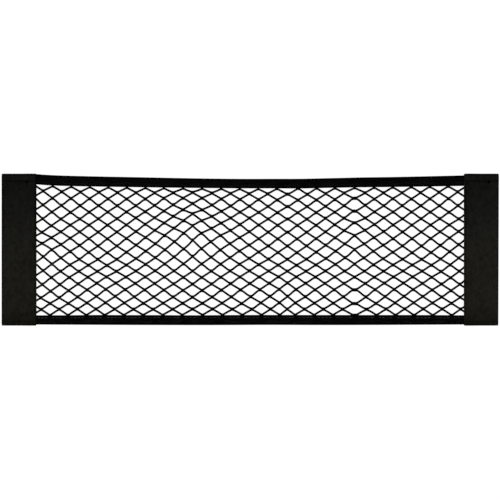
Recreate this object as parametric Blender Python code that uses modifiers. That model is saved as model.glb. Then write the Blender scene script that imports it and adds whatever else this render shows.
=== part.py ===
"""Cargo net: diamond mesh caught between two folded bindings and two wide end panels.

It lies flat, as laid out on a surface: X along its length, Y up its height with the top
binding at +Y, Z away from the surface. Every cloth piece is a thin sheet, given its thickness
last. Metres.
"""
import math

import bmesh
import bpy

# Overall size, laid flat
LENGTH = 0.8000
HEIGHT = 0.2438

# Thicknesses and the air left between neighbouring pieces
LAYER = 0.0010              # one layer of tape or binding
NET_THICK = 0.0010
AIR = 0.0003
SLOT = NET_THICK + 2 * AIR          # room for the net inside a folded binding
BINDING_THICK = 2 * LAYER + SLOT
STEP_UP = LAYER + AIR               # rise over one layer of a neighbour

# End panels: wide tape folded round at the outer end, open towards the net
PANEL_WIDTH = 0.0553
PANEL_REST = 2 * LAYER + 0.0004     # two layers almost together near the fold
MOUTH_DEPTH = 0.0120                # how far the mouth stays open for what is sewn into it
MOUTH_EASE = 0.0160                 # length over which it closes down towards the fold
TUCK = 0.0105                       # how far net and bindings reach into the mouth
TOP_HEM = 0.0113
BOTTOM_HEM = 0.0050
HEM_EASE = 0.0014
HEM_RISE = 0.0005
OUTER_LEAN = 0.0007                 # the right panel's outer end runs in by this at the bottom
PANEL_BLEND = 0.0020                # past a binding's edge before the panel comes down

# Bindings: elastic tape folded lengthwise over the net's edge
HALF_SPAN = LENGTH / 2 - PANEL_WIDTH
TOP_CREST = 0.1137                  # outer edge of the top binding at mid length
TOP_BOW = 0.0057                    # its ends stand this much higher
TOP_BOW_POWER = 1.5
LEFT_FLARE = 0.0019                 # extra lift of the top binding where it meets the left panel
FLARE_REACH = 0.0200
TOP_WIDTH = 0.0143
TOP_WIDEN = 0.0013
BOTTOM_CREST = -0.1213              # outer edge of the bottom binding at mid length
BOTTOM_BOW = 0.0011
BOTTOM_WIDTH = 0.0154
BOTTOM_NARROW = 0.0017
BINDING_CROWN = 0.0002              # the upper layer swells between fold and free edge
LIFT_REACH = 0.0700                 # length over which a piece climbs into a panel's mouth
SAG_REACH = 0.0260                  # width over which the net climbs into a binding

# Faces across one flat layer, round a fold, and along a piece
BINDING_FACES = 2
PANEL_FACES = 9
FOLD_FACES = 4
BINDING_STEPS = 44
PANEL_STEPS = 24

# Net: the real lattice is 23 knots across; the solid is cut at a coarser pitch of the same form
KNOTS_ACROSS = 23
COLUMNS = 17
ROWS = 8
STRAND = 0.0025
STRAND_EDGE = 0.45                  # thickness at a strand's sides, as a share of its middle
NET_IN_BINDING = 0.0090
KNOT_COVER = 0.0010                 # the end knots sit this far inside the tapes

# Where the lattice's lines cross the two bindings: knot number, x at the top, x at the bottom
LINES = (
    (0, -0.347, -0.352),
    (1, -0.317, -0.323),
    (4, -0.229, -0.234),
    (8, -0.110, -0.111),
    (9, -0.078, -0.075),
    (13, 0.044, 0.048),
    (14, 0.078, 0.072),
    (17, 0.169, 0.167),
    (18, 0.200, 0.204),
    (22, 0.318, 0.324),
    (23, 0.348, 0.354),
)

# Places where the mesh is drawn up, slack or gathered sideways:
# x, y, rise, gather, reach along x, reach along y, 1 for a sharp cusp or 2 for a soft swell
PULLS = (
    (-0.092, 0.034, 0.0120, 0.0000, 0.046, 0.040, 1),
    (-0.092, -0.025, 0.0000, 0.0070, 0.060, 0.060, 1),
    (-0.092, -0.070, -0.0020, 0.0000, 0.060, 0.030, 2),
    (0.168, 0.022, 0.0050, 0.0000, 0.028, 0.045, 1),
    (0.172, -0.010, 0.0000, 0.0035, 0.045, 0.060, 1),
    (-0.233, -0.010, -0.0035, 0.0000, 0.062, 0.033, 2),
    (0.290, -0.005, -0.0030, 0.0000, 0.050, 0.030, 2),
    (-0.335, 0.045, -0.0035, 0.0030, 0.035, 0.035, 2),
    (-0.327, -0.065, -0.0030, 0.0020, 0.050, 0.035, 2),
    (0.055, 0.065, 0.0020, 0.0000, 0.090, 0.040, 2),
    (0.060, -0.020, -0.0020, 0.0000, 0.090, 0.030, 2),
    (0.335, 0.045, -0.0025, 0.0000, 0.045, 0.040, 2),
    (0.335, -0.060, -0.0020, 0.0000, 0.045, 0.035, 2),
)

# Colours as linear values
NET_BLACK = (0.0035, 0.0035, 0.0036, 1)
BINDING_BLACK = (0.0045, 0.0045, 0.0046, 1)
PANEL_CHARCOAL = (0.0100, 0.0095, 0.0080, 1)


def ease(t):
    """Smooth step from 0 to 1."""
    t = min(max(t, 0.0), 1.0)
    return t * t * (3 - 2 * t)


# Outlines

def top_outer(x):
    """Outer edge of the top binding: bowed down at mid length, flared up at the left end."""
    bow = TOP_BOW * min(abs(x) / HALF_SPAN, 1.05) ** TOP_BOW_POWER
    flare = LEFT_FLARE * math.exp(-max(x + HALF_SPAN, 0.0) / FLARE_REACH)
    return TOP_CREST + bow + flare


def top_inner(x):
    return top_outer(x) - TOP_WIDTH - TOP_WIDEN * (x / HALF_SPAN) ** 2


def bottom_outer(x):
    return BOTTOM_CREST + BOTTOM_BOW * (x / HALF_SPAN) ** 2


def bottom_inner(x):
    return bottom_outer(x) + BOTTOM_WIDTH - BOTTOM_NARROW * (x / HALF_SPAN) ** 2


def climb(x):
    """0 in the free span, 1 inside a panel's mouth."""
    return ease((abs(x) - HALF_SPAN + LIFT_REACH) / (LIFT_REACH - 0.001))


def past_bindings(x, y):
    """How far a point lies inside both bindings' inner edges (negative under a binding)."""
    return min(top_inner(x) - y, y - bottom_inner(x))


def across(knot):
    """x of a lattice line at the top and at the bottom binding."""
    for left, right in zip(LINES, LINES[1:]):
        if knot <= right[0]:
            break
    share = (knot - left[0]) / (right[0] - left[0])
    return tuple(a + (b - a) * share for a, b in zip(left[1:], right[1:]))


def lattice(column, row):
    """Place of a lattice point: column 0 to COLUMNS from the left, row 0 to ROWS from below.

    Columns and rows beyond those lie in the tapes that hold the net's edge.
    """
    u = min(max(column / COLUMNS, 0.0), 1.0)
    v = min(max(row / ROWS, 0.0), 1.0)
    x_top, x_bottom = across(u * KNOTS_ACROSS)
    x = x_bottom + (x_top - x_bottom) * v
    y_top = top_inner(x) + KNOT_COVER
    y_bottom = bottom_inner(x) - KNOT_COVER
    y = y_bottom + (y_top - y_bottom) * v
    x_at, y_at = x, y
    if 0 < v < 1:
        for x_pull, y_pull, rise, gather, reach_x, reach_y, power in PULLS:
            side = (x - x_pull) / reach_x
            share = math.exp(-abs(side) ** power - ((y - y_pull) / reach_y) ** 2)
            x_at -= gather * side * share
            y_at += rise * share
    if column < 0 or column > COLUMNS:
        x_at = math.copysign(HALF_SPAN + TUCK, x)
    if row < 0:
        y_at = bottom_inner(x_at) - NET_IN_BINDING
    if row > ROWS:
        y_at = top_inner(x_at) + NET_IN_BINDING
    return x_at, y_at


# Sheets

def grid_sheet(name, columns, rows, place):
    """A sheet of columns by rows faces, each point put where place(i, j) says."""
    mesh = bpy.data.meshes.new(name)
    bm = bmesh.new()
    bmesh.ops.create_grid(bm, x_segments=columns, y_segments=rows, size=1)
    for vert in bm.verts:
        i = round((vert.co.x + 1) / 2 * columns)
        j = round((vert.co.y + 1) / 2 * rows)
        vert.co = place(i, j)
    bm.to_mesh(mesh)
    bm.free()
    return bpy.data.objects.new(name, mesh)


def thicken(obj, thickness, group=""):
    solidify = obj.modifiers.new("thickness", "SOLIDIFY")
    solidify.thickness = thickness
    solidify.offset = 0
    solidify.use_even_offset = not group
    solidify.vertex_group = group
    solidify.thickness_vertex_group = STRAND_EDGE


def fold_profile(depth, height, flat_points):
    """Middle line of a U fold seen from its side: (distance from the mouth, height above floor).

    It starts at the lower layer's free edge, goes round the fold at full depth and comes back
    to the upper layer's free edge.
    """
    radius = (height - LAYER) / 2
    centre = depth - height / 2
    flat = [centre * k / flat_points for k in range(flat_points)]
    lower = [(d, LAYER / 2) for d in flat]
    arc = []
    for k in range(FOLD_FACES + 1):
        angle = math.pi * (k / FOLD_FACES - 0.5)
        arc.append((centre + radius * math.cos(angle), height / 2 + radius * math.sin(angle)))
    upper = [(d, height - LAYER / 2) for d in reversed(flat)]
    return lower + arc + upper


# Pieces

def make_binding(name, outer, inner):
    """A tape folded over the net's edge, its fold at the outer side."""
    half = HALF_SPAN + TUCK
    faces = 2 * BINDING_FACES + FOLD_FACES

    def place(i, j):
        x = -half + 2 * half * i / BINDING_STEPS
        width = outer(x) - inner(x)
        depth, height = fold_profile(abs(width), BINDING_THICK, BINDING_FACES)[j]
        if j > faces / 2:
            height += BINDING_CROWN * math.sin(math.pi * depth / abs(width))
        return x, inner(x) + math.copysign(depth, width), height + STEP_UP * climb(x)

    return grid_sheet(name, BINDING_STEPS, faces, place)


def panel_rows():
    """Heights at which a panel is sectioned: close at the hems, even between them."""
    low, high = -HEIGHT / 2, HEIGHT / 2
    rows = [low, low + BOTTOM_HEM, low + BOTTOM_HEM + HEM_EASE]
    first, last = rows[-1], high - TOP_HEM - HEM_EASE
    rows += [first + (last - first) * k / PANEL_STEPS for k in range(1, PANEL_STEPS + 1)]
    return rows + [high - TOP_HEM, high - TOP_HEM / 2, high]


def make_panel(name, side):
    """Wide tape folded round at the outer end; side is -1 for the left panel, 1 for the right."""
    rows = panel_rows()
    profile = fold_profile(PANEL_WIDTH, PANEL_REST, PANEL_FACES)

    def place(i, j):
        y = rows[j]
        depth, height = profile[i]
        reach = depth / PANEL_WIDTH
        x = side * (HALF_SPAN + depth)
        if side > 0:
            x -= OUTER_LEAN * reach * (0.5 - y / HEIGHT)
        if i > len(profile) // 2:
            over_net = 2 * AIR + NET_THICK + 2 * LAYER - PANEL_REST
            over_binding = over_net + BINDING_THICK - NET_THICK
            near = ease((past_bindings(x, y) - PANEL_BLEND) / SAG_REACH)
            rise = over_binding + (over_net - over_binding) * near
            height += rise * ease((MOUTH_DEPTH + MOUTH_EASE - depth) / MOUTH_EASE)
            hem_top = ease((y - HEIGHT / 2 + TOP_HEM) / HEM_EASE + 1)
            hem_bottom = ease((-y - HEIGHT / 2 + BOTTOM_HEM) / HEM_EASE + 1)
            height += HEM_RISE * max(hem_top, hem_bottom)
        return x, y, height

    return grid_sheet(name, len(profile) - 1, len(rows) - 1, place)


def make_net(name):
    """Diamond mesh with a plain selvedge all round, which the tapes cover."""
    mesh = bpy.data.meshes.new(name)
    bm = bmesh.new()
    bmesh.ops.create_grid(bm, x_segments=COLUMNS + 2, y_segments=ROWS + 2, size=1)
    for vert in bm.verts:
        vert.co.x = round((vert.co.x + 1) / 2 * (COLUMNS + 2)) - 1
        vert.co.y = round((vert.co.y + 1) / 2 * (ROWS + 2)) - 1

    # Each cell gets its middle knot, and the cell walls inside the lattice are taken out
    cells = []
    for face in bm.faces:
        centre = face.calc_center_median()
        if 0 < centre.x < COLUMNS and 0 < centre.y < ROWS:
            cells.append(face)
    inner = set(cells)
    walls = [e for e in bm.edges if len(e.link_faces) == 2 and inner.issuperset(e.link_faces)]
    bmesh.ops.poke(bm, faces=cells)
    bmesh.ops.dissolve_edges(bm, edges=walls, use_verts=False)

    for vert in bm.verts:
        vert.co.x, vert.co.y = lattice(vert.co.x, vert.co.y)
    bm.normal_update()

    # Every diamond is drawn in by half a strand and its middle taken out
    gaps = [f for f in bm.faces if all(len(e.link_faces) == 2 for e in f.edges)]
    middle = set(bm.verts)
    bmesh.ops.inset_individual(bm, faces=gaps, thickness=STRAND / 2, use_even_offset=True)
    bmesh.ops.delete(bm, geom=gaps, context="FACES")
    for vert in bm.verts:
        x, y = vert.co.x, vert.co.y
        held = 1 - ease(past_bindings(x, y) / SAG_REACH)
        vert.co.z = NET_THICK / 2 + STEP_UP * (climb(x) + held)
    bm.verts.index_update()
    thick = [v.index for v in bm.verts if v in middle]
    bm.to_mesh(mesh)
    bm.free()
    net = bpy.data.objects.new(name, mesh)
    net.vertex_groups.new(name="strand_middle").add(thick, 1.0, "REPLACE")
    return net


# Scene

def finish(obj, collection, colour, roughness, thickness, group=""):
    """Give a sheet its thickness and its material, and put it with the object's pieces."""
    thicken(obj, thickness, group)
    material = bpy.data.materials.new(obj.name)
    material.use_nodes = True
    shader = material.node_tree.nodes["Principled BSDF"]
    shader.inputs["Base Color"].default_value = colour
    shader.inputs["Roughness"].default_value = roughness
    shader.inputs["Metallic"].default_value = 0.0
    obj.data.materials.append(material)
    collection.objects.link(obj)


def main():
    for obj in list(bpy.data.objects):
        bpy.data.objects.remove(obj, do_unlink=True)
    collection = bpy.data.collections.new("cargo_net")
    bpy.context.scene.collection.children.link(collection)

    top = make_binding("top_binding", top_outer, top_inner)
    bottom = make_binding("bottom_binding", bottom_outer, bottom_inner)
    for binding in (top, bottom):
        finish(binding, collection, BINDING_BLACK, 0.75, LAYER)
    finish(make_net("net"), collection, NET_BLACK, 0.7, NET_THICK, "strand_middle")
    for name, side in (("left_panel", -1), ("right_panel", 1)):
        finish(make_panel(name, side), collection, PANEL_CHARCOAL, 0.85, LAYER)


main()
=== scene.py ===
"""Cargo net, looks: knotted mesh of fine cords, two folded ribbed bindings, two pile end panels.

Metres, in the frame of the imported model: X along the net, Y up its height, Z away from the floor.
"""
import math

import bmesh
import bpy
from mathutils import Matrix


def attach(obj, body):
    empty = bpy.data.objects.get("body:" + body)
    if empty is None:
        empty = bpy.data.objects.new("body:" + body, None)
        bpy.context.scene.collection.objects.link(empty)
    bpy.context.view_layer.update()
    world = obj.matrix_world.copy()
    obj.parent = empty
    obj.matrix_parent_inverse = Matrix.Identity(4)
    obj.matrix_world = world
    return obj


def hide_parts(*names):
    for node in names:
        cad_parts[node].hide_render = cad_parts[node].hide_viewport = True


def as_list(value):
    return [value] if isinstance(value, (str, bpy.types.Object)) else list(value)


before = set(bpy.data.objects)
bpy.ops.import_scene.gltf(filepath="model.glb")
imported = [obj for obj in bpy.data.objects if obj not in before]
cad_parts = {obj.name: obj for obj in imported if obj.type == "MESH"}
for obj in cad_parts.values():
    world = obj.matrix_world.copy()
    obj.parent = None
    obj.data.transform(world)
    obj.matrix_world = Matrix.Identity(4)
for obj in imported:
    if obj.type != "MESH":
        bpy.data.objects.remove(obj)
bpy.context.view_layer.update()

# Overall size and layers, as cut
LENGTH = 0.8000
HEIGHT = 0.2438
LAYER = 0.0010
SLOT = 0.0016                       # room for the net inside a folded binding
BINDING_THICK = 2 * LAYER + SLOT
STEP_UP = 0.0013                    # rise over one layer of a neighbour

# End panels
PANEL_WIDTH = 0.0553
PANEL_REST = 0.0024                 # two layers almost together near the fold
MOUTH_DEPTH = 0.0120
MOUTH_EASE = 0.0160
TUCK = 0.0105                       # how far net and bindings reach into a panel
TOP_HEM = 0.0116                    # seams, measured from the panel's top and bottom edges
BOTTOM_HEM = 0.0060
HEM_EASE = 0.0014
HEM_RISE = 0.0005
SEAM_DIP = 0.0004
OUTER_LEAN = 0.0009
PANEL_BLEND = 0.0020
CORNER = 0.0004                     # how far the outer corners are rounded off
CORNER_REACH = 0.0060               # width over which the outer edge falls back to them
PANEL_SPREAD = 0.0007               # the soft pile stands this far past the cloth's cut edges
MOUTH_SPREAD = -0.75                # its share at the mouth, negative because it goes the other way
END_SHARE = 0.03                    # share of the half height over which the spread grows
LEAN_PIVOT = 0.17                   # height, as a share of the whole, where the lean changes side

# Dimples that the top hem draws into the pile below it:
# side, x, y, depth, reach across, reach along, lean (step to the left for each step up)
# The pile's material also paints shade into each dimple
PUCKERS = (
    (-1, -0.3896, 0.1026, 0.0005, 0.0028, 0.0060, 0.6),
    (-1, -0.3670, 0.1030, 0.0005, 0.0110, 0.0085, 0.1),
    (1, 0.3528, 0.1036, 0.0006, 0.0026, 0.0085, 0.6),
    (1, 0.3800, 0.1025, 0.0005, 0.0120, 0.0090, -0.2),
)
TACK_DROP = 0.0012                  # the dense stitches lie this far below the top hem's seam
TACKS = ((-1, -0.3593), (1, 0.3846))    # side and x of each

# Bindings
HALF_SPAN = LENGTH / 2 - PANEL_WIDTH
TOP_CREST = 0.1137
TOP_BOW = 0.0057
TOP_BOW_POWER = 1.5
BOW_LIMIT = 1.05                    # past this share of the half span the bow rises no more
LEFT_FLARE = 0.0019
FLARE_REACH = 0.0200
TOP_WIDTH = 0.0143
TOP_WIDEN = 0.0013
BOTTOM_CREST = -0.1213
BOTTOM_BOW = 0.0011
BOTTOM_WIDTH = 0.0154
BOTTOM_NARROW = 0.0017
BINDING_CROWN = 0.0002
LIFT_REACH = 0.0700                 # length over which a piece climbs into a panel's mouth
LIFT_END = 0.0010                   # the climb ends this far before the mouth
SAG_REACH = 0.0260                  # width over which the net climbs into a binding
KNOT_COVER = 0.0010                 # the end knots sit this far inside the tapes
TAPE_SPREAD = 0.0003                # the tapes' edges stand this far past the rib lines
TOP_OVERHANG = 0.0005
BOTTOM_OVERHANG = 0.0004
OVERHANG_LEAN = 0.0014              # the top tape reaches lower towards the right
BOTTOM_SAG = 0.0002                 # the bottom tape's outer edge lies this much lower

# Slight waves in the tapes' edges: x, reach, rise of the outer edge, rise of the inner edge
TOP_WAVES = (
    (-0.310, 0.070, 0.0004, -0.0003),
    (-0.190, 0.090, 0.0006, -0.0002),
    (0.083, 0.035, -0.00045, -0.0006),
    (0.180, 0.030, 0.0003, 0.0002),
)
BOTTOM_WAVES = (
    (-0.245, 0.030, 0.0000, 0.0003),
    (-0.090, 0.050, 0.0000, -0.00045),
    (0.030, 0.070, 0.00045, 0.0000),
    (0.270, 0.070, 0.0000, 0.0003),
)

# The net's lattice
COLUMNS = 23
ROWS = 10
COLUMN_PITCH = 0.0298
ROW_PITCH = 0.0211
MID_DRIFT = 0.004                   # rows lie a little nearer the middle of the net

# Cords: each zigzags the whole length between two levels of knots and touches its neighbours there
CORD_WIDTH = 0.0034
CORD_FLATNESS = 0.52                # thickness as a share of width, lying free
PRESSED_FLATNESS = 0.40             # and where a tape presses it
CORD_STEPS = 8                      # points from one knot to the next
CONTACT = 0.00105                   # from a knot's middle to the middle of either cord
CORD_REST_HEIGHT = 0.0009
CORD_SHORTER = 0.0010               # the cords end this far short of the tapes' tucked ends
PRESS_REACH = 0.0040                # width over which a tape's edge flattens them
KNOT_DROP = 0.0024                  # the highest knots hang clear of the top tape's edge
KNOT_LIFT = 0.0013                  # and the lowest stand clear of the bottom tape's
TIE_SIDES = 5                       # corners round the cord that ties a knot
TIE_ROUND = 0.30                    # its thickness as a share of its turn's radius
TIE_SIZE = (0.0023, 0.0023, 0.00086)
TIE_RISE = 0.0002
TIE_STEPS = 10                      # points along one turn
TIE_STRETCH = 8                     # a tie is longer by this many times its knot's long run
FOOT_SIZE = (0.0021, 0.0030, 0.0008)    # half a foot, the knot that is caught in a tape
FOOT_REACH = 0.0012                 # its middle lies this far past the lattice, into the tape
WELD = 0.00001                      # points nearer than this are merged
TIE_WELD = 0.001                    # and on a tie, while its turn has a radius of 1

# Even and odd cords: share of a strand that runs level beside its knot, and how sharply it turns
CORD_WAYS = ((0.01, 0.97), (0.05, 0.84))

# Knots drawn out long: column, lowest and highest level, further share of the strand that runs level
LONG_KNOTS = (
    (17, 8, 9, 0.12),
    (17, 7, 7, 0.06),
    (17, 0, 2, 0.14),
    (13.5, 6.5, 9.5, 0.05),
    (8.5, 6.5, 7.5, -0.06),
)

# Where the lattice's lines cross the two bindings: knot number, x at the top, x at the bottom
LINES = (
    (0, -0.3485, -0.3515),
    (1, -0.3180, -0.3225),
    (4, -0.2285, -0.2350),
    (7.5, -0.1240, -0.1255),
    (8, -0.1080, -0.1095),
    (9, -0.0775, -0.0765),
    (9.5, -0.0615, -0.0600),
    (13, 0.0430, 0.0490),
    (14, 0.0775, 0.0740),
    (16.5, 0.1515, 0.1505),
    (17.5, 0.1850, 0.1870),
    (22, 0.3190, 0.3250),
    (23, 0.3490, 0.3535),
)

# Places where the mesh is drawn up, or hangs lower where the rise is negative, from left to right:
# x, y, rise, reach along x, reach along y. Sharp ones come to a point along x, soft ones are round.
SHARP_RISES = (
    (-0.092, 0.034, 0.0120, 0.046, 0.040),
    (0.168, 0.022, 0.0050, 0.028, 0.045),
)
SOFT_RISES = (
    (-0.345, 0.031, -0.0015, 0.020, 0.011),
    (-0.338, 0.001, 0.0018, 0.022, 0.012),
    (-0.335, 0.045, -0.0015, 0.035, 0.035),
    (-0.327, -0.065, -0.0030, 0.050, 0.035),
    (-0.322, 0.043, -0.0008, 0.012, 0.008),
    (-0.322, -0.086, 0.0007, 0.012, 0.007),
    (-0.319, 0.006, 0.0009, 0.014, 0.018),
    (-0.310, -0.097, 0.0012, 0.050, 0.009),
    (-0.300, -0.025, -0.0008, 0.030, 0.015),
    (-0.285, 0.059, -0.0009, 0.030, 0.014),
    (-0.277, -0.012, -0.0009, 0.012, 0.010),
    (-0.233, -0.010, -0.0035, 0.062, 0.033),
    (-0.232, -0.053, 0.0009, 0.024, 0.016),
    (-0.184, 0.050, 0.0009, 0.014, 0.009),
    (-0.175, -0.080, -0.0010, 0.030, 0.014),
    (-0.137, 0.081, 0.0007, 0.014, 0.008),
    (-0.125, 0.015, 0.0014, 0.030, 0.020),
    (-0.107, 0.006, -0.0020, 0.013, 0.009),
    (-0.092, 0.022, -0.0012, 0.011, 0.030),
    (-0.092, -0.070, -0.0015, 0.060, 0.030),
    (-0.088, 0.060, -0.0008, 0.022, 0.009),
    (-0.085, 0.010, 0.0020, 0.050, 0.014),
    (-0.085, -0.032, -0.0012, 0.060, 0.018),
    (-0.080, -0.099, 0.0008, 0.045, 0.008),
    (-0.060, 0.079, 0.0008, 0.100, 0.008),
    (-0.048, 0.018, 0.0010, 0.022, 0.018),
    (-0.012, -0.084, -0.0011, 0.022, 0.012),
    (0.000, 0.0485, 0.0010, 0.014, 0.009),
    (0.008, 0.072, 0.0006, 0.022, 0.010),
    (0.020, -0.012, -0.0006, 0.030, 0.010),
    (0.022, 0.011, -0.0007, 0.020, 0.012),
    (0.040, 0.045, 0.0010, 0.075, 0.022),
    (0.058, -0.055, 0.0009, 0.026, 0.016),
    (0.075, -0.012, -0.0025, 0.060, 0.028),
    (0.085, 0.096, -0.0015, 0.040, 0.014),
    (0.110, -0.080, -0.0009, 0.040, 0.014),
    (0.123, 0.049, 0.0011, 0.013, 0.009),
    (0.160, -0.031, -0.0007, 0.016, 0.014),
    (0.172, 0.081, 0.0012, 0.018, 0.008),
    (0.175, 0.071, 0.0006, 0.020, 0.008),
    (0.178, 0.033, 0.0007, 0.020, 0.012),
    (0.185, -0.085, -0.0015, 0.040, 0.014),
    (0.195, -0.025, -0.0021, 0.055, 0.030),
    (0.215, -0.099, 0.0007, 0.060, 0.008),
    (0.216, 0.050, 0.0014, 0.014, 0.009),
    (0.228, -0.055, 0.0007, 0.032, 0.012),
    (0.231, 0.014, -0.0008, 0.016, 0.012),
    (0.232, 0.081, 0.0007, 0.020, 0.008),
    (0.245, -0.006, -0.0012, 0.040, 0.018),
    (0.280, 0.090, -0.0009, 0.090, 0.010),
    (0.290, -0.005, -0.0030, 0.050, 0.030),
    (0.305, 0.068, -0.0007, 0.040, 0.011),
    (0.312, 0.014, 0.0006, 0.035, 0.018),
    (0.318, -0.032, -0.0007, 0.028, 0.020),
    (0.330, -0.097, 0.0010, 0.050, 0.009),
    (0.335, -0.060, -0.0020, 0.045, 0.035),
    (0.340, 0.058, -0.0012, 0.030, 0.018),
)

# Places that the mesh is gathered towards, or spread from where the gather is negative:
# x, y, gather, reach along x, reach along y
SHARP_GATHERS = (
    (-0.092, -0.025, 0.0070, 0.060, 0.060),
    (0.169, -0.010, 0.0065, 0.025, 0.032),
)
SOFT_GATHERS = (
    (-0.375, 0.030, 0.0042, 0.036, 0.015),
    (-0.375, 0.008, 0.0030, 0.036, 0.010),
    (-0.375, -0.021, -0.0054, 0.036, 0.024),
    (-0.375, -0.077, 0.0042, 0.036, 0.012),
    (-0.335, 0.045, 0.0020, 0.035, 0.035),
    (-0.327, -0.065, 0.0020, 0.050, 0.035),
    (-0.212, -0.090, 0.0018, 0.040, 0.018),
    (-0.093, 0.028, 0.0016, 0.030, 0.016),
    (-0.092, 0.006, 0.0018, 0.048, 0.012),
    (0.035, -0.098, 0.0032, 0.050, 0.018),
    (0.168, -0.048, 0.0013, 0.040, 0.028),
    (0.175, -0.098, -0.0039, 0.055, 0.020),
    (0.375, 0.053, 0.0030, 0.036, 0.012),
    (0.375, -0.015, -0.0018, 0.036, 0.022),
)


def ease(t):
    """Smooth step from 0 to 1."""
    t = min(max(t, 0.0), 1.0)
    return t * t * (3 - 2 * t)


# Outlines

def top_outer(x):
    bow = TOP_BOW * min(abs(x) / HALF_SPAN, BOW_LIMIT) ** TOP_BOW_POWER
    flare = LEFT_FLARE * math.exp(-max(x + HALF_SPAN, 0.0) / FLARE_REACH)
    return TOP_CREST + bow + flare


def top_inner(x):
    return top_outer(x) - TOP_WIDTH - TOP_WIDEN * (x / HALF_SPAN) ** 2


def bottom_outer(x):
    return BOTTOM_CREST + BOTTOM_BOW * (x / HALF_SPAN) ** 2


def bottom_inner(x):
    return bottom_outer(x) + BOTTOM_WIDTH - BOTTOM_NARROW * (x / HALF_SPAN) ** 2


def wave(x, waves, edge):
    """How far an edge of a tape strays upwards; edge is 0 for the outer one, 1 for the inner."""
    return sum(swell[2 + edge] * math.exp(-(((x - swell[0]) / swell[1]) ** 2)) for swell in waves)


def climb(x):
    """0 in the free span, 1 inside a panel's mouth."""
    return ease((abs(x) - HALF_SPAN + LIFT_REACH) / (LIFT_REACH - LIFT_END))


def past_bindings(x, y):
    """How far a point lies inside both bindings' inner edges (negative under a binding)."""
    return min(top_inner(x) - y, y - bottom_inner(x))


def across(knot):
    """x of a lattice line at the top and at the bottom binding."""
    for left, right in zip(LINES, LINES[1:]):
        if knot <= right[0]:
            break
    share = (knot - left[0]) / (right[0] - left[0])
    return tuple(a + (b - a) * share for a, b in zip(left[1:], right[1:]))


def nearness(x, y, at_x, at_y, reach_x, reach_y, power):
    """1 at a pull's middle, less away from it: from a cusp for power 1, from a swell for power 2."""
    return math.exp(-abs((x - at_x) / reach_x) ** power - ((y - at_y) / reach_y) ** 2)


def lattice(column, row):
    """Place of a point of the mesh: column 0 to COLUMNS from the left, row 0 to ROWS from below."""
    v = row / ROWS
    x_top, x_bottom = across(column)
    x = x_bottom + (x_top - x_bottom) * v
    y_top = top_inner(x) + KNOT_COVER
    y_bottom = bottom_inner(x) - KNOT_COVER
    y = y_bottom + (y_top - y_bottom) * (v + MID_DRIFT * math.sin(2 * math.pi * v))
    y += KNOT_LIFT * ease(1 - ROWS * v) - KNOT_DROP * ease(1 - 2 * ROWS * (1 - v))
    free = ease(2 * ROWS * min(v, 1 - v))
    x_at, y_at = x, y
    for power, pulls in ((1, SHARP_RISES), (2, SOFT_RISES)):
        for at_x, at_y, rise, *reaches in pulls:
            y_at += rise * free * nearness(x, y, at_x, at_y, *reaches, power)
    for power, pulls in ((1, SHARP_GATHERS), (2, SOFT_GATHERS)):
        for at_x, at_y, gather, *reaches in pulls:
            x_at -= gather * (x - at_x) / reaches[0] * nearness(x, y, at_x, at_y, *reaches, power)
    return x_at, y_at


def long_run(column, level):
    """Further share of a strand that runs level beside this knot."""
    for at, low, high, run in LONG_KNOTS:
        if at == column and low <= level <= high:
            return run
    return 0.0


def net_height(x, y):
    """Middle height of the net: low in the free span, between the layers where a tape holds it."""
    held = 1 - ease(past_bindings(x, y) / SAG_REACH)
    lifted = climb(x)
    in_slot = BINDING_THICK / 2
    rest = CORD_REST_HEIGHT + (in_slot - CORD_REST_HEIGHT) * max(held, lifted)
    return rest + STEP_UP * held * lifted


# Modelling helpers

SMOOTH_ANGLE = math.radians(60)


def deselect_all():
    if bpy.context.object and bpy.context.object.mode != "OBJECT":
        bpy.ops.object.mode_set(mode="OBJECT")
    bpy.ops.object.select_all(action="DESELECT")


def activate(obj):
    deselect_all()
    obj.select_set(True)
    bpy.context.view_layer.objects.active = obj
    return obj


def weld(distance=WELD):
    """In edit mode, merge the points that lie together."""
    bpy.ops.mesh.select_all(action="SELECT")
    bpy.ops.mesh.remove_doubles(threshold=distance)


def face_outwards():
    """In edit mode, turn all faces outwards, and leave edit mode."""
    bpy.ops.mesh.select_all(action="SELECT")
    bpy.ops.mesh.normals_make_consistent(inside=False)
    bpy.ops.object.mode_set(mode="OBJECT")


def select_far_edge(width):
    """In edit mode, select the edges along a strip's far side."""
    bpy.ops.mesh.select_mode(type="EDGE")
    bpy.ops.mesh.select_all(action="DESELECT")
    mesh = bpy.context.object.data
    bm = bmesh.from_edit_mesh(mesh)
    for edge in bm.edges:
        edge.select_set(all(corner.co.y > width / 2 for corner in edge.verts))
    bm.select_flush_mode()
    bmesh.update_edit_mesh(mesh)


def extrude(y, z=0.0):
    bpy.ops.mesh.extrude_region_move(TRANSFORM_OT_translate={"value": (0, y, z)})


def move_points(obj, place):
    """Move every point of a finished blank to where place(point) says."""
    for vert in obj.data.vertices:
        vert.co = place(vert.co)
    obj.data.update()


def unwrap(obj, place):
    """Give every corner of every face the UV that place(point) says."""
    layer = obj.data.uv_layers.active or obj.data.uv_layers.new(name="UVMap")
    for loop in obj.data.loops:
        layer.data[loop.index].uv = place(obj.data.vertices[loop.vertex_index].co)


def apply(obj, kind, **settings):
    """Add a modifier to the object and apply it."""
    activate(obj)
    modifier = obj.modifiers.new(kind.lower(), kind)
    for name, value in settings.items():
        setattr(modifier, name, value)
    bpy.ops.object.modifier_apply(modifier=modifier.name)


def repeat(obj, count, step):
    """Copies of a piece in a row, each a step, as (x, y, z), from the last."""
    apply(obj, "ARRAY", count=count, use_relative_offset=False, use_constant_offset=True,
          constant_offset_displace=step)


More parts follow.
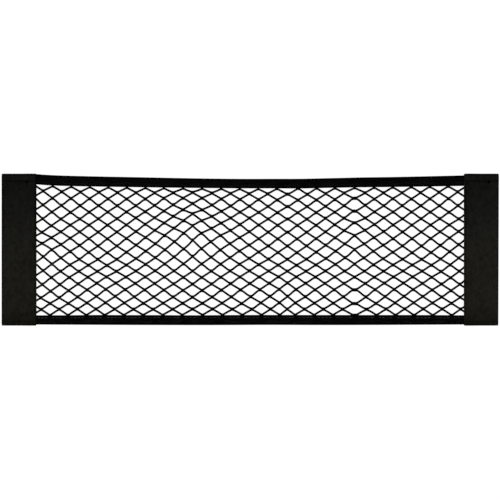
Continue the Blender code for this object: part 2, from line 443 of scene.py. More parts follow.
def strip(name, steps, length, width):
    """A flat strip of faces along X, its near edge at y = 0: the start of a tape."""
    deselect_all()
    bpy.ops.mesh.primitive_grid_add(
        x_subdivisions=steps, y_subdivisions=1, size=1, location=(0, width / 2, LAYER / 2)
    )
    obj = bpy.context.object
    obj.name = name
    obj.scale = (length, width, 1)
    bpy.ops.object.transform_apply(location=True, scale=True)
    return obj


def finish_piece(obj, material):
    """Put the object's place into its mesh, shade it smooth and give it its material."""
    activate(obj)
    bpy.ops.object.transform_apply(location=True, rotation=True, scale=True)
    bpy.ops.object.shade_smooth_by_angle(angle=SMOOTH_ANGLE)
    obj.data.materials.clear()
    obj.data.materials.append(material)
    return obj


def join(name, objects):
    deselect_all()
    for obj in objects:
        obj.select_set(True)
    bpy.context.view_layer.objects.active = objects[0]
    if len(objects) > 1:
        bpy.ops.object.join()
    objects[0].name = name
    objects[0].data.name = name
    return objects[0]


# Shader helpers

class Value:
    """A shader socket that works in Python expressions; each operation adds its Math node."""

    def __init__(self, shader, socket):
        self.shader = shader
        self.socket = socket

    def math(self, operation, *values):
        return self.shader.node("ShaderNodeMath", [self, *values], operation=operation)

    def __add__(self, other):
        return self.math("ADD", other)

    def __mul__(self, other):
        return self.math("MULTIPLY", other)

    def __sub__(self, other):
        return self.math("SUBTRACT", other)

    def __rsub__(self, other):
        return self.shader.node("ShaderNodeMath", [other, self], operation="SUBTRACT")

    def __truediv__(self, other):
        return self.math("DIVIDE", other)

    def __pow__(self, other):
        return self.math("POWER", other)

    def __abs__(self):
        return self.math("ABSOLUTE")

    __radd__ = __add__
    __rmul__ = __mul__

    def sin(self):
        return self.math("SINE")

    def ramp(self, low, high, to_low=0.0, to_high=1.0):
        """Smooth change from to_low to to_high as the value goes from low to high."""
        return self.shader.node(
            "ShaderNodeMapRange",
            {"Value": self, "From Min": low, "From Max": high, "To Min": to_low, "To Max": to_high},
            interpolation_type="SMOOTHSTEP",
        )


class Shader:
    """A material whose nodes are added by name; constants go straight on the sockets."""

    def __init__(self, name):
        self.material = bpy.data.materials.new(name)
        self.material.use_nodes = True
        self.tree = self.material.node_tree
        self.surface = self.tree.nodes["Principled BSDF"]

    def node(self, kind, inputs=(), out=0, **settings):
        made = self.tree.nodes.new(kind)
        for name, value in settings.items():
            setattr(made, name, value)
        pairs = inputs.items() if isinstance(inputs, dict) else enumerate(inputs)
        for key, value in pairs:
            self.feed(made.inputs[key], value)
        return Value(self, made.outputs[out])

    def feed(self, socket, value):
        if isinstance(value, Value):
            self.tree.links.new(value.socket, socket)
        else:
            socket.default_value = value

    def set(self, **sockets):
        """Set or link the surface's sockets, with underscores for the spaces in their names."""
        for name, value in sockets.items():
            self.feed(self.surface.inputs[name.replace("_", " ")], value)

    def place(self, scale=(1, 1, 1)):
        """Object coordinates, stretched."""
        where = self.node("ShaderNodeTexCoord", out="Object")
        return self.node("ShaderNodeMapping", {"Vector": where, "Scale": scale})

    def split(self, vector):
        made = self.node("ShaderNodeSeparateXYZ", [vector])
        return [Value(self, made.socket.node.outputs[k]) for k in range(3)]

    def noise(self, vector, scale, detail=2.0, roughness=0.5):
        return self.node(
            "ShaderNodeTexNoise",
            {"Vector": vector, "Scale": scale, "Detail": detail, "Roughness": roughness},
        )

    def mix(self, share, colour_a, colour_b):
        """Colour a where share is 0, colour b where it is 1."""
        return self.node(
            "ShaderNodeMix", {0: share, 6: colour_a, 7: colour_b}, out=2, data_type="RGBA"
        )

    def bump(self, height, distance, strength=1.0):
        return self.node(
            "ShaderNodeBump", {"Height": height, "Distance": distance, "Strength": strength}
        )


def colour(red, green, blue):
    return (red, green, blue, 1.0)


# Materials

CORD_BLACK = colour(0.0030, 0.0030, 0.0031)
CORD_WORN = colour(0.0070, 0.0070, 0.0073)
TAPE_BLACK = colour(0.0014, 0.0014, 0.0015)
TAPE_RIB = colour(0.0120, 0.0120, 0.0123)
TAPE_EDGE = colour(0.0004, 0.0004, 0.0004)
PILE_NEUTRAL = colour(0.0370, 0.0364, 0.0308)
PILE_WARM = colour(0.0392, 0.0366, 0.0270)
# the next is painted shade, near black, at the rounded fold of each panel
FOLD_SHADE_BLACK = colour(0.0070, 0.0069, 0.0062)
HOOK_BLACK = colour(0.0140, 0.0140, 0.0145)
THREAD_GREY = colour(0.1400, 0.1400, 0.1500)
THREAD_DULL = colour(0.0420, 0.0420, 0.0430)
THREAD_BLACK = colour(0.0060, 0.0060, 0.0054)
TACK_BLACK = colour(0.0004, 0.0004, 0.0004)
THREAD_GLOSS = 0.2
BLACK_GLOSS = 0.05
TACK_GLOSS = 0.01
THREAD_WORN = (0.3, 1.4)            # a thread's darkest and lightest tone, as shares of its colour

# Tone of a tape's half beside its fold, as a share of the other half's
TOP_TONE = 0.9
BOTTOM_TONE = 1.6

# Across a tape, as shares of its width from its inner edge: from, to, and the values there
INNER_RIM = (0.06, 0.19)
OUTER_RIM = (0.78, 0.88, 1.0, 0.0)
HALF_WAY = (0.40, 0.72)

# Repeats of the weaves, and how deep their bumps are
COURSES_PER_STRAND = 9              # knitted courses along a cord from one knot to the next
WEFT_PITCH = 0.0009
HOOK_PITCH_X = 0.0016
HOOK_PITCH_Y = 0.0013
CORD_BUMP = 0.00018
TAPE_BUMP = 0.00015
PILE_BUMP = 0.0005
THREAD_BUMP = 0.0001

# Grain: cells of noise in each metre, the same all ways or along X, Y and Z
CORD_FUZZ = 900
CORD_WEAR = 60
RIB_GRAIN = (70, 560, 560)
FIBRE_GRAIN = (160, 1500, 1500)
TAPE_CLOUDS = (20, 60, 60)
PILE_GRAIN = 700
PILE_BLOTCHES = (170, 130, 170)
PILE_STREAKS = (420, 110, 420)
PILE_CLOUDS = (45, 30, 45)
# the next is the grain of the patchy painted shade along the top seam
SEAM_SHADE_GRAIN = (90, 1, 1)
THREAD_TWIST = (500, 2500, 2500)
THREAD_WEAR = (90, 90, 90)

# Where the pile's tone changes: from, to, tone at the first, tone at the second. The values that
# it changes over are heights, y, where nothing else is said.
# The next two are painted light and shade: the pile lighter in the middle of its height
UPPER_PAINTED_SHADE = (-0.015, 0.112, 1.04, 0.60)
LOWER_PAINTED_SHADE = (-0.122, -0.082, 0.68, 1.0)
PILE_MOTTLE = (0.30, 0.70, 0.62, 1.38)      # over the strength of the noise
TACK_SHADE = (1.2e-6, 7.5e-6, 0.12, 1.0)    # over the square of the distance from a tack
DIMPLE_SHADE = (0.1, 1.6, 0.80, 1.0)        # over the square of the share of a dimple's reach
# Painted shade along the rounded top edge; the bottom edge made darker too
TOP_RIM_SHADE = (HEIGHT / 2 - 0.0038, HEIGHT / 2 - 0.0030, 1.0, 0.62)
BOTTOM_RIM = (0.0010 - HEIGHT / 2, 0.0052 - HEIGHT / 2, 0.74, 1.0)
# Painted light: each panel's pile made lighter or darker as a whole
PANEL_PAINTED_LIGHT = {-1: 0.95, 1: 1.10}           # left and right panel
# painted shade in the top seam's groove, at most this much darker
SEAM_TONE = 0.45                            # how much darker the top seam is at most
HEM_TONE = 0.60                             # tone of the two dark lines in the bottom hem
HEM_LINE = 0.0033                           # from the bottom seam down to the second of them
CREASE_INSET = 0.0025                       # from a panel's left edge to the crease inside it
CREASE_FADE = 0.004                         # the crease ends over this height below the top seam

# Dark lines in the pile, painted shade at the top seam, the crease, the right edge and the fold:
# from the line's middle, how far it is darkest, and where it has ended
SEAM_BAND = (0.0006, 0.0024)
HEM_BAND = (0.0002, 0.0014)
CREASE_BAND = (0.0004, 0.0014)
FALL_BAND = (0.0004, 0.0022)                # from a panel's right edge
# the black rim at the fold is painted shade
RIM_BAND = 0.0018                           # width of the black rim at the fold
# painted shade along the edges grows between these heights
UPPER_HALF = (0.005, 0.035)                 # the edges grow darker between these heights
BACK_BAND = (0.0002, 0.0006)                # z where the hooks on the back give way to the pile


def cord_material():
    """Knitted cord: chevrons across its own UV map, whose u runs along it and v around it."""
    s = Shader("net_cord")
    uv = s.node("ShaderNodeUVMap", uv_map="UVMap")
    along, around, _ = s.split(uv)
    courses = 2 * COLUMNS * COURSES_PER_STRAND
    chevron = along * courses + abs(around * 2 - 1) * 0.9
    stitch = (chevron * (2 * math.pi)).sin() * 0.5 + 0.5
    fuzz = s.noise(s.place(), CORD_FUZZ, 3, 0.6)
    wear = s.noise(s.place(), CORD_WEAR, 2)
    s.set(
        Base_Color=s.mix((stitch * 0.6 + wear * 0.4) ** 1.6, CORD_BLACK, CORD_WORN),
        Roughness=0.72 + 0.14 * fuzz,
        Specular_IOR_Level=0.12,
        Normal=s.bump(stitch + fuzz * 0.5, CORD_BUMP),
    )
    return s.material


def tape_material(name, outer_tone):
    """Ribbed tape; outer_tone is the tone of the half beside its fold."""
    s = Shader(name)
    along, share, _ = s.split(s.node("ShaderNodeUVMap", uv_map="UVMap"))
    ribs = s.noise(s.place(RIB_GRAIN), 1.0, 2, 0.6)
    fibre = s.noise(s.place(FIBRE_GRAIN), 1.0, 2, 0.6)
    clouds = s.noise(s.place(TAPE_CLOUDS), 1.0, 2)
    weft = (along * (2 * math.pi / WEFT_PITCH)).sin() * 0.5 + 0.5
    rib = s.mix((ribs * 0.65 + clouds * 0.2 + fibre * 0.15).ramp(0.40, 0.62), TAPE_BLACK, TAPE_RIB)
    off_rims = share.ramp(*INNER_RIM) * share.ramp(*OUTER_RIM)
    toned = s.node(
        "ShaderNodeVectorMath", {0: rib, "Scale": share.ramp(*HALF_WAY, 1.0, outer_tone)},
        operation="SCALE",
    )
    s.set(
        Base_Color=s.mix(off_rims, TAPE_EDGE, toned),
        Roughness=0.6 + 0.2 * ribs,
        Specular_IOR_Level=0.03,
        Normal=s.bump(fibre * 0.7 + weft * 0.3, TAPE_BUMP),
    )
    return s.material


def pile_material(side):
    """Loop pile with hooks on its back, with painted light and shade; side is -1 for the left panel,
    1 for the right.
    """
    s = Shader("left_pile" if side < 0 else "right_pile")
    x, y, z = s.split(s.place())
    from_mouth = x * side - HALF_SPAN
    blotches = s.noise(s.place(PILE_BLOTCHES), 1.0, 3, 0.6)
    streaks = s.noise(s.place(PILE_STREAKS), 1.0, 2, 0.5)
    clouds = s.noise(s.place(PILE_CLOUDS), 1.0, 2)
    grain = s.noise(s.place(), PILE_GRAIN, 2, 0.6)

    # Painted light and shade: lighter in the middle of the height, darker towards the top and the
    # bottom, as the light falls
    tone = y.ramp(*UPPER_PAINTED_SHADE) * y.ramp(*LOWER_PAINTED_SHADE)
    # Painted light: one panel lighter than the other
    tone = tone * PANEL_PAINTED_LIGHT[side]
    tone = tone * (blotches * 0.5 + streaks * 0.3 + clouds * 0.2).ramp(*PILE_MOTTLE)

    # Painted shade in the top seam's groove, patchy along it, and in the dimples; darker round the
    # tacks and along two lines in the bottom hem
    in_seam = 1 - abs(y - SEAMS[0]).ramp(*SEAM_BAND)
    wear_and_shade = s.noise(s.place(SEAM_SHADE_GRAIN), 1.0, 2).ramp(0.35, 0.60, 0.45, 1.0)
    tone = tone * (1 - in_seam * wear_and_shade * SEAM_TONE)
    for line in (SEAMS[1], SEAMS[1] - HEM_LINE):
        tone = tone * (HEM_TONE + (1 - HEM_TONE) * abs(y - line).ramp(*HEM_BAND))
    for at_side, at_x in TACKS:
        if at_side == side:
            off = (x - at_x) ** 2 + (y - SEAMS[0] + TACK_DROP) ** 2
            tone = tone * off.ramp(*TACK_SHADE)
    for at_side, at_x, at_y, _, wide, tall, lean in PUCKERS:
        if at_side == side:
            off_x = (x - at_x + (y - at_y) * lean) / wide
            off_y = (y - at_y) / tall
            tone = tone * (off_x * off_x + off_y * off_y).ramp(*DIMPLE_SHADE)

    # Painted shade along the edges: in a crease inside the left one and where the right one turns
    # away from the light
    from_left = x + LENGTH / 2 if side < 0 else from_mouth
    from_right = from_mouth if side < 0 else LENGTH / 2 - x
    upper = y.ramp(*UPPER_HALF)
    below_seam = y.ramp(SEAMS[0] - CREASE_FADE, SEAMS[0], 1.0, 0.0)
    crease_shade = (1 - abs(from_left - CREASE_INSET).ramp(*CREASE_BAND)) * below_seam
    tone = tone * (1 - crease_shade * (0.15 + 0.45 * upper))
    tone = tone * (1 - (1 - from_right.ramp(*FALL_BAND)) * (0.25 + 0.5 * upper))
    # Painted shade along the rounded top edge; darker towards the bottom edge
    tone = tone * y.ramp(*TOP_RIM_SHADE)
    tone = tone * y.ramp(*BOTTOM_RIM)
    # Painted shade, near black, along the rounded fold at the outer end
    off_rim = from_mouth.ramp(PANEL_WIDTH - RIM_BAND, PANEL_WIDTH, 1.0, 0.0)

    pile = s.mix((y * 6 + clouds * 1.6 + 0.1).ramp(0.4, 1.4), PILE_WARM, PILE_NEUTRAL)
    shaded = s.node("ShaderNodeVectorMath", {0: pile, "Scale": tone}, operation="SCALE")
    edged = s.mix(off_rim, FOLD_SHADE_BLACK, shaded)
    above = z.ramp(*BACK_BAND)
    hook_rows = (x * (2 * math.pi / HOOK_PITCH_X)).sin() * (y * (2 * math.pi / HOOK_PITCH_Y)).sin()
    hooks = hook_rows * 0.5 + 0.5
    s.set(
        Base_Color=s.mix(above, HOOK_BLACK, edged),
        Roughness=0.75 + 0.2 * grain * above,
        Specular_IOR_Level=0.1,
        Normal=s.bump((grain * 0.6 + streaks * 0.4) * above + hooks * (1 - above), PILE_BUMP),
    )
    return s.material


def tinted(tone, share):
    """A colour made darker or lighter."""
    return colour(*(part * share for part in tone[:3]))


def thread_material(name, tone, gloss=THREAD_GLOSS):
    s = Shader(name)
    twist = s.noise(s.place(THREAD_TWIST), 1.0, 1)
    # here the patches are the thread's own wear, with no shade
    wear_and_shade = s.noise(s.place(THREAD_WEAR), 1.0, 2).ramp(0.36, 0.62)
    darkest, lightest = (tinted(tone, share) for share in THREAD_WORN)
    s.set(
        Base_Color=s.mix(wear_and_shade, darkest, lightest),
        Roughness=0.5 + 0.2 * twist,
        Specular_IOR_Level=gloss,
        Normal=s.bump(twist, THREAD_BUMP),
    )
    return s.material


# Net

def bend(t, sharpness):
    """From 0 to 1 as t does, level at both ends; nearer sharpness 1 it is straight between."""
    return 0.5 + math.asin(sharpness * math.sin(math.pi * (t - 0.5))) / (2 * math.asin(sharpness))


def cord_points(cord):
    """The middle line of a cord, numbered from below, as (x, y) points from left to right."""
    rest, sharpness = CORD_WAYS[cord % 2]
    points = []
    for k in range(2 * COLUMNS * CORD_STEPS + 1):
        knot, part = divmod(k, CORD_STEPS)
        t = part / CORD_STEPS
        first = (knot + cord) % 2
        before = max(rest + long_run(knot / 2, (cord + first) / 2), 0.0)
        after = max(rest + long_run((knot + 1) / 2, (cord + 1 - first) / 2), 0.0)
        level = bend(min(max((t - before) / (1 - before - after), 0.0), 1.0), sharpness)
        if first:
            level = 1 - level
        x, y = lattice((knot + t) / 2, (cord + level) / 2)
        points.append((x, y + CONTACT * (1 - 2 * level)))
    end = HALF_SPAN + TUCK - CORD_SHORTER
    return [(-end, points[0][1])] + points + [(end, points[-1][1])]


def make_cords():
    curve = bpy.data.curves.new("cords", "CURVE")
    curve.dimensions = "3D"
    curve.bevel_depth = CORD_WIDTH / 2
    curve.bevel_resolution = 1
    curve.use_fill_caps = True
    for cord in range(2 * ROWS):
        points = cord_points(cord)
        spline = curve.splines.new("POLY")
        spline.points.add(len(points) - 1)
        for point, (x, y) in zip(spline.points, points):
            point.co = (x, y, 0, 1)
    cords = bpy.data.objects.new("cords", curve)
    bpy.context.scene.collection.objects.link(cords)
    activate(cords)
    bpy.ops.object.convert(target="MESH")
    cords = bpy.context.object
    bpy.ops.object.mode_set(mode="EDIT")
    weld()
    face_outwards()

    def lie(point):
        held = 1 - ease(past_bindings(point.x, point.y) / PRESS_REACH + 0.5)
        pressed = max(held, climb(point.x))
        flat = CORD_FLATNESS + (PRESSED_FLATNESS - CORD_FLATNESS) * pressed
        return point.x, point.y, point.z * flat + net_height(point.x, point.y)

    move_points(cords, lie)
    return cords


def make_tie(start):
    """One turn of cord about X, at the first knot of a family."""
    deselect_all()
    bpy.ops.mesh.primitive_circle_add(
        vertices=TIE_SIDES, radius=TIE_ROUND, location=(0, 1, 0),
        rotation=(0, 0, math.pi / TIE_SIDES),
    )
    tie = bpy.context.object
    bpy.ops.object.transform_apply(location=True, rotation=True)
    bpy.ops.object.mode_set(mode="EDIT")
    bpy.ops.mesh.spin(steps=TIE_STEPS, angle=2 * math.pi, center=(0, 0, 0), axis=(1, 0, 0))
    weld(TIE_WELD)
    face_outwards()
    tie.scale = TIE_SIZE
    tie.location = (start * COLUMN_PITCH, start * ROW_PITCH, 0)
    bpy.ops.object.transform_apply(location=True, scale=True)
    return tie


def make_foot(level, towards):
    """The knot of the first column that a tape catches; towards is 1 up, -1 down."""
    deselect_all()
    bpy.ops.mesh.primitive_uv_sphere_add(segments=8, ring_count=6)
    foot = bpy.context.object
    foot.scale = FOOT_SIZE
    foot.location = (COLUMN_PITCH, level * ROW_PITCH + towards * FOOT_REACH, 0)
    bpy.ops.object.transform_apply(location=True, scale=True)
    return foot


def make_ties():
    """The turns that tie two cords together at every knot, and the feet caught in the tapes."""
    families = []
    for start, columns, rows in ((0.5, COLUMNS, ROWS), (1.0, COLUMNS - 1, ROWS - 1)):
        tie = make_tie(start)
        repeat(tie, columns, (COLUMN_PITCH, 0, 0))
        repeat(tie, rows, (0, ROW_PITCH, 0))
        families.append(tie)
    for level, towards in ((0, -1), (ROWS, 1)):
        foot = make_foot(level, towards)
        repeat(foot, COLUMNS - 1, (COLUMN_PITCH, 0, 0))
        families.append(foot)
    ties = join("ties", families)

    def settle_on_knot(point):
        u = round(2 * point.x / COLUMN_PITCH)
        v = round(2 * point.y / ROW_PITCH)
        x, y = lattice(u / 2, v / 2)
        longer = 1 + TIE_STRETCH * long_run(u / 2, v / 2)
        return (
            x + (point.x - u * COLUMN_PITCH / 2) * longer,
            y + point.y - v * ROW_PITCH / 2,
            point.z + net_height(x, y) + TIE_RISE,
        )

    move_points(ties, settle_on_knot)
    return ties


def make_net():
    return finish_piece(join("net_mesh", [make_cords(), make_ties()]), cord_material())


# Bindings

RIBS = 8
RIB_RISE = 0.00022
FOLD_STEPS = 6
TAPE_STEPS = 120


def make_binding(name, outer, inner, material):
    """A ribbed tape folded over the net's edge: laid out straight, then bowed along its edge."""
    half = HALF_SPAN + TUCK
    width = TOP_WIDTH               # while it is straight; lay() fits it between the tape's edges
    flat = width - BINDING_THICK / 2
    step = flat / (2 * RIBS)
    radius = (BINDING_THICK - LAYER) / 2
    tape = strip(name, TAPE_STEPS, 2 * half, step)
    bpy.ops.object.mode_set(mode="EDIT")
    select_far_edge(step)
    for k in range(1, 2 * RIBS):
        extrude(step, RIB_RISE * (-1) ** k)
    bpy.ops.mesh.spin(
        steps=FOLD_STEPS, angle=-math.pi, center=(0, flat, LAYER / 2 + radius), axis=(1, 0, 0)
    )
    for k in range(2 * RIBS):
        extrude(-step, RIB_RISE * (-1) ** k)
    weld()
    face_outwards()
    unwrap(tape, lambda point: (point.x, point.y / width))

    def lay(point):
        far = outer(point.x)
        near = inner(point.x)
        if far > near:
            far += TAPE_SPREAD + wave(point.x, TOP_WAVES, 0)
            near -= TAPE_SPREAD + TOP_OVERHANG + OVERHANG_LEAN * point.x
            near += wave(point.x, TOP_WAVES, 1)
        else:
            far += wave(point.x, BOTTOM_WAVES, 0) - TAPE_SPREAD - BOTTOM_SAG
            near += wave(point.x, BOTTOM_WAVES, 1) + TAPE_SPREAD + BOTTOM_OVERHANG
        share = point.y / width
        z = point.z + STEP_UP * climb(point.x)
        if point.z > BINDING_THICK / 2:
            z += BINDING_CROWN * math.sin(math.pi * min(max(share, 0), 1))
        return point.x, near + (far - near) * share, z

    move_points(tape, lay)
    apply(tape, "SOLIDIFY", thickness=LAYER - RIB_RISE, offset=0)
    apply(tape, "SUBSURF", levels=1, render_levels=1)
    return finish_piece(tape, material)


# End panels

PANEL_STEPS = 20
PANEL_FOLD_STEPS = 4
PANEL_ROWS = 70
SEAMS = (HEIGHT / 2 - TOP_HEM, BOTTOM_HEM - HEIGHT / 2)     # y of the top and the bottom hem's seam
SEAM_REACH = 0.0011                 # half the width of the groove along a seam
SEAM_FLOOR = 0.0004                 # half the width of its floor
SEAM_SLOPE = 0.0012                 # width over which its side rises
DIMPLE_FLOOR = 0.1                  # square of the share of a dimple's reach that is its floor
DIMPLE_SLOPE = 1.5                  # and what that square grows by over its side
EDGE_KEEP = 0.0010                  # nothing dips this near the fold
EDGE_FADE = 0.0020                  # the dips grow over this width, from there and from the ends


def dimple(x, y, side):
    """How deep the pile is drawn in here."""
    depth = 0.0
    for at_side, at_x, at_y, deep, wide, tall, lean in PUCKERS:
        if at_side == side:
            off = ((x - at_x + (y - at_y) * lean) / wide) ** 2 + ((y - at_y) / tall) ** 2
            depth = max(depth, deep * (1 - ease((off - DIMPLE_FLOOR) / DIMPLE_SLOPE)))
    for seam in SEAMS:
        depth = max(depth, SEAM_DIP * (1 - ease((abs(y - seam) - SEAM_FLOOR) / SEAM_SLOPE)))
    return depth


def panel_height(depth, x, y, side):
    """How much higher the upper layer lies than where the fold alone would put it."""
    over_net = SLOT + 2 * LAYER - PANEL_REST
    over_binding = over_net + BINDING_THICK - LAYER
    near = ease((past_bindings(x, y) - PANEL_BLEND) / SAG_REACH)
    rise = over_binding + (over_net - over_binding) * near
    height = rise * ease((MOUTH_DEPTH + MOUTH_EASE - depth) / MOUTH_EASE)
    hem_top = ease((y - SEAMS[0]) / HEM_EASE + 0.5)
    hem_bottom = ease((SEAMS[1] - y) / HEM_EASE + 0.5)
    from_fold = ease((PANEL_WIDTH - depth - EDGE_KEEP) / EDGE_FADE)
    from_end = ease((HEIGHT / 2 - abs(y)) / EDGE_FADE)
    inside = from_fold * from_end
    return height + HEM_RISE * max(hem_top, hem_bottom) - dimple(x, y, side) * inside


def make_panel(name, side, material):
    """Wide tape folded round at the outer end; side is -1 for the left panel, 1 for the right."""
    flat = PANEL_WIDTH - PANEL_REST / 2
    step = flat / PANEL_STEPS
    radius = (PANEL_REST - LAYER) / 2
    panel = strip(name, PANEL_ROWS, HEIGHT, step)
    bpy.ops.object.mode_set(mode="EDIT")
    select_far_edge(step)
    for _ in range(PANEL_STEPS - 1):
        extrude(step)
    bpy.ops.mesh.spin(
        steps=PANEL_FOLD_STEPS, angle=-math.pi, center=(0, flat, LAYER / 2 + radius), axis=(1, 0, 0)
    )
    for _ in range(PANEL_STEPS):
        extrude(-step)
    weld()
    for seam in SEAMS:
        for offset in (-SEAM_REACH, 0, SEAM_REACH):
            bpy.ops.mesh.select_all(action="SELECT")
            bpy.ops.mesh.bisect(plane_co=(seam + offset, 0, 0), plane_no=(1, 0, 0))
    bpy.ops.object.mode_set(mode="OBJECT")

    def lay(point):
        y, depth = point.x, point.y
        share = depth / PANEL_WIDTH
        reach = depth + PANEL_SPREAD * (MOUTH_SPREAD + (1 - MOUTH_SPREAD) * share)
        near_end = max(abs(y) / HEIGHT * 2 - 1 + END_SHARE, 0) / END_SHARE
        reach -= CORNER * near_end ** 2 * ease((depth - PANEL_WIDTH + CORNER_REACH) / CORNER_REACH)
        x = side * (HALF_SPAN + reach)
        if side > 0:
            x -= OUTER_LEAN * share * (LEAN_PIVOT - y / HEIGHT)
        z = point.z
        if z > PANEL_REST / 2:
            z += panel_height(depth, x, y, side)
        return x, y + math.copysign(PANEL_SPREAD, y) * near_end, z

    move_points(panel, lay)
    activate(panel)
    bpy.ops.object.mode_set(mode="EDIT")
    face_outwards()
    apply(panel, "SOLIDIFY", thickness=LAYER, offset=0)
    apply(panel, "SUBSURF", levels=1, render_levels=1)
    return finish_piece(panel, material)


# Stitches

STITCH_RISE = 0.0003                # how far a stitch's middle stands above the cloth

# Top tape: one zigzag row
ZIGZAG_PITCH = 0.0032
ZIGZAG_SIZE = (0.0013, 0.0004, 0.0003)  # half a stitch along, across and up
ZIGZAG = 0.0008                     # to either side of the row's middle
ZIGZAG_INSET = 0.0036               # from the tape's inner edge
ZIGZAG_SHORTER = 0.0010             # the row is this much shorter than the free span

# Bottom tape: four long stitches for each mesh of the net, then one left out
BAND_RUN = 4
BAND_PITCH = COLUMN_PITCH / (BAND_RUN + 1)
BAND_SIZE = (0.0024, 0.0004, 0.0003)
BAND_INSET = 0.0034
BAND_SLACK = 0.0010                 # spare length, so that rounding down keeps the last mesh

# Panels: a row along each seam and each mouth, and tacks
SEAM_PITCH = 0.0027
SEAM_SIZE = (0.0011, 0.00035, 0.0003)
SEAM_SHORTER = 0.0030               # a seam's row is this much shorter than the panel is wide
MOUTH_INSET = 0.0024
MOUTH_SHORTER = 0.0300              # the mouth's row is this much shorter than the panel is high
TACK_LENGTH = 0.0035
TACK_PITCH = 0.0007
TACK_SIZE = (0.0004, 0.0018, 0.0004)

# Both tapes: how far across them their rows lie, which sets the height of the crown there
TAPE_SHARE = 0.25


def stitch_row(name, length, pitch, size, place, material, run=1):
    """Stitches along a row: one is modelled, repeated and laid where place(x, y, z) says.

    size is half a stitch along, across and up. With a run of more than one, so many stitches
    follow each other before one is left out. The row's middle is at x = 0 before it is laid.
    """
    deselect_all()
    bpy.ops.mesh.primitive_uv_sphere_add(segments=6, ring_count=4, rotation=(0, math.pi / 2, 0))
    row = bpy.context.object
    bpy.ops.object.transform_apply(rotation=True)
    row.scale = size
    bpy.ops.object.transform_apply(scale=True)
    group = pitch * (run + 1) if run > 1 else pitch
    count = int(length / group)
    repeat(row, run, (pitch, 0, 0))
    repeat(row, count, (group, 0, 0))
    first = (pitch - count * group) / 2 + (pitch / 2 if run > 1 else 0)
    move_points(row, lambda point: place(point.x + first, point.y, point.z))
    row.name = name
    return finish_piece(row, material)


def tape_top(x):
    """Height of a stitch's middle on either tape."""
    crown = BINDING_CROWN * math.sin(math.pi * TAPE_SHARE)
    return BINDING_THICK + STITCH_RISE + STEP_UP * climb(x) + crown


def on_top_tape(x, y, z):
    sideways = ZIGZAG if math.floor(x / ZIGZAG_PITCH) % 2 else -ZIGZAG
    return x, top_inner(x) + ZIGZAG_INSET + sideways + y, tape_top(x) + z


def on_bottom_tape(x, y, z):
    x = across(x / COLUMN_PITCH + COLUMNS / 2)[1]
    return x, bottom_inner(x) - BAND_INSET + y, tape_top(x) + z


def on_panel(side, x, y, z):
    return x, y, z + PANEL_REST + STITCH_RISE + panel_height(abs(x) - HALF_SPAN, x, y, side)


def panel_stitches(name, side, thread, tack_thread):
    """All stitches of one panel, as one piece."""
    middle = side * (HALF_SPAN + PANEL_WIDTH / 2)
    mouth = side * (HALF_SPAN + MOUTH_INSET)
    sewn = []
    for number, seam in enumerate(SEAMS):
        sewn.append(stitch_row(
            f"{name}_seam_{number}", PANEL_WIDTH - SEAM_SHORTER, SEAM_PITCH, SEAM_SIZE,
            lambda x, y, z: on_panel(side, middle + x, seam + y, z), thread,
        ))
    sewn.append(stitch_row(
        f"{name}_mouth", HEIGHT - MOUTH_SHORTER, SEAM_PITCH, SEAM_SIZE,
        lambda x, y, z: on_panel(side, mouth + y, x, z), thread,
    ))
    for at_side, at_x in TACKS:
        if at_side == side:
            sewn.append(stitch_row(
                f"{name}_tack", TACK_LENGTH, TACK_PITCH, TACK_SIZE,
                lambda x, y, z: on_panel(side, at_x + x, SEAMS[0] - TACK_DROP + y, z), tack_thread,
            ))
    return join(f"{name}_stitches", sewn)


def make_stitches():
    """The stitches of each sewn piece, by the name of its node."""
    grey = thread_material("grey_thread", THREAD_GREY)
    dull = thread_material("dull_thread", THREAD_DULL)
    black = thread_material("black_thread", THREAD_BLACK, BLACK_GLOSS)
    tack = thread_material("tack_thread", TACK_BLACK, TACK_GLOSS)
    zigzag = stitch_row(
        "top_stitches", 2 * HALF_SPAN - ZIGZAG_SHORTER, ZIGZAG_PITCH, ZIGZAG_SIZE, on_top_tape, dull
    )
    band = stitch_row(
        "bottom_stitches", COLUMNS * COLUMN_PITCH + BAND_SLACK, BAND_PITCH, BAND_SIZE,
        on_bottom_tape, grey, run=BAND_RUN,
    )
    return {
        "top_binding": [zigzag],
        "bottom_binding": [band],
        "left_panel": [panel_stitches("left", -1, black, tack)],
        "right_panel": [panel_stitches("right", 1, black, tack)],
    }


# Stage

FLOOR_SIZE = 8
FLOOR_DROP = 0.0002                 # the floor lies this far under the object
FLOOR_GREY = colour(0.3, 0.3, 0.3)
FLOOR_GLOW = 0.96
WHITE = colour(1, 1, 1)
ROOM_LIGHT = 0.12
LENS = 180
SENSOR = 36
VIEW_SPAN = 0.806                   # what the picture's width takes in at the object
VIEW_CENTRE = (-0.00024, -0.0006)

# Lamps: name, place, size, power
LAMPS = (
    ("key", (-1.6, 1.8, 2.2), 2.0, 16),
    ("fill", (1.8, -1.4, 2.2), 2.4, 6),
)


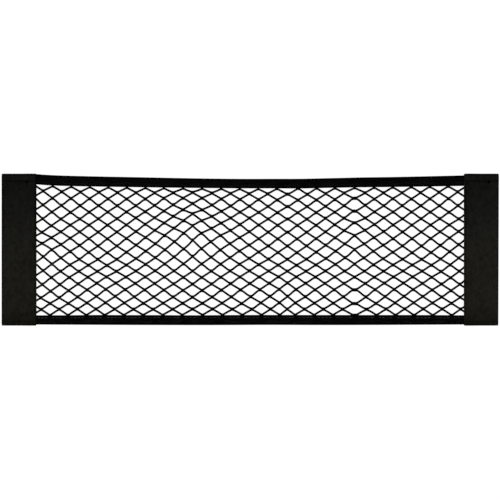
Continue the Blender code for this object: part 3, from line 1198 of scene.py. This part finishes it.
def make_floor():
    deselect_all()
    bpy.ops.mesh.primitive_plane_add(size=FLOOR_SIZE, location=(0, 0, -FLOOR_DROP))
    floor = bpy.context.object
    floor.name = "floor"
    s = Shader("pale_floor")
    s.set(Base_Color=FLOOR_GREY, Roughness=0.9, Specular_IOR_Level=0.0)
    s.set(Emission_Color=WHITE, Emission_Strength=FLOOR_GLOW)
    return finish_piece(floor, s.material)


def make_stage():
    """Floor, light and the camera, which looks straight down."""
    make_floor()

    world = bpy.data.worlds.new("studio")
    world.use_nodes = True
    background = world.node_tree.nodes["Background"]
    background.inputs["Color"].default_value = WHITE
    background.inputs["Strength"].default_value = ROOM_LIGHT
    bpy.context.scene.world = world

    for name, place, size, power in LAMPS:
        light = bpy.data.lights.new(name, "AREA")
        light.size = size
        light.energy = power
        lamp = bpy.data.objects.new(name, light)
        lamp.location = place
        lamp.rotation_euler = (-lamp.location).to_track_quat("-Z", "Y").to_euler()
        bpy.context.scene.collection.objects.link(lamp)

    camera = bpy.data.cameras.new("camera")
    camera.lens = LENS
    camera.sensor_width = SENSOR
    view = bpy.data.objects.new("camera", camera)
    view.location = (VIEW_CENTRE[0], VIEW_CENTRE[1], VIEW_SPAN * LENS / SENSOR)
    bpy.context.scene.collection.objects.link(view)
    bpy.context.scene.camera = view
    bpy.context.scene.view_settings.view_transform = "Standard"


def main():
    make_stage()
    net = make_net()
    bindings = {
        "top_binding": make_binding(
            "top_tape", top_outer, top_inner, tape_material("top_tape", TOP_TONE)),
        "bottom_binding": make_binding(
            "bottom_tape", bottom_outer, bottom_inner, tape_material("bottom_tape", BOTTOM_TONE)),
    }
    panels = {
        "left_panel": make_panel("left_end", -1, pile_material(-1)),
        "right_panel": make_panel("right_end", 1, pile_material(1)),
    }
    stitches = make_stitches()

    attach(net, "root")
    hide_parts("net")
    for node, tape_piece in bindings.items():
        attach(tape_piece, "root")
        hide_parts(node)
        for row in stitches[node]:
            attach(row, "root")
        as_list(stitches[node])
    for node, panel in panels.items():
        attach(panel, "root")
        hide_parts(node)
        for row in stitches[node]:
            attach(row, "root")
        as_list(stitches[node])


main()
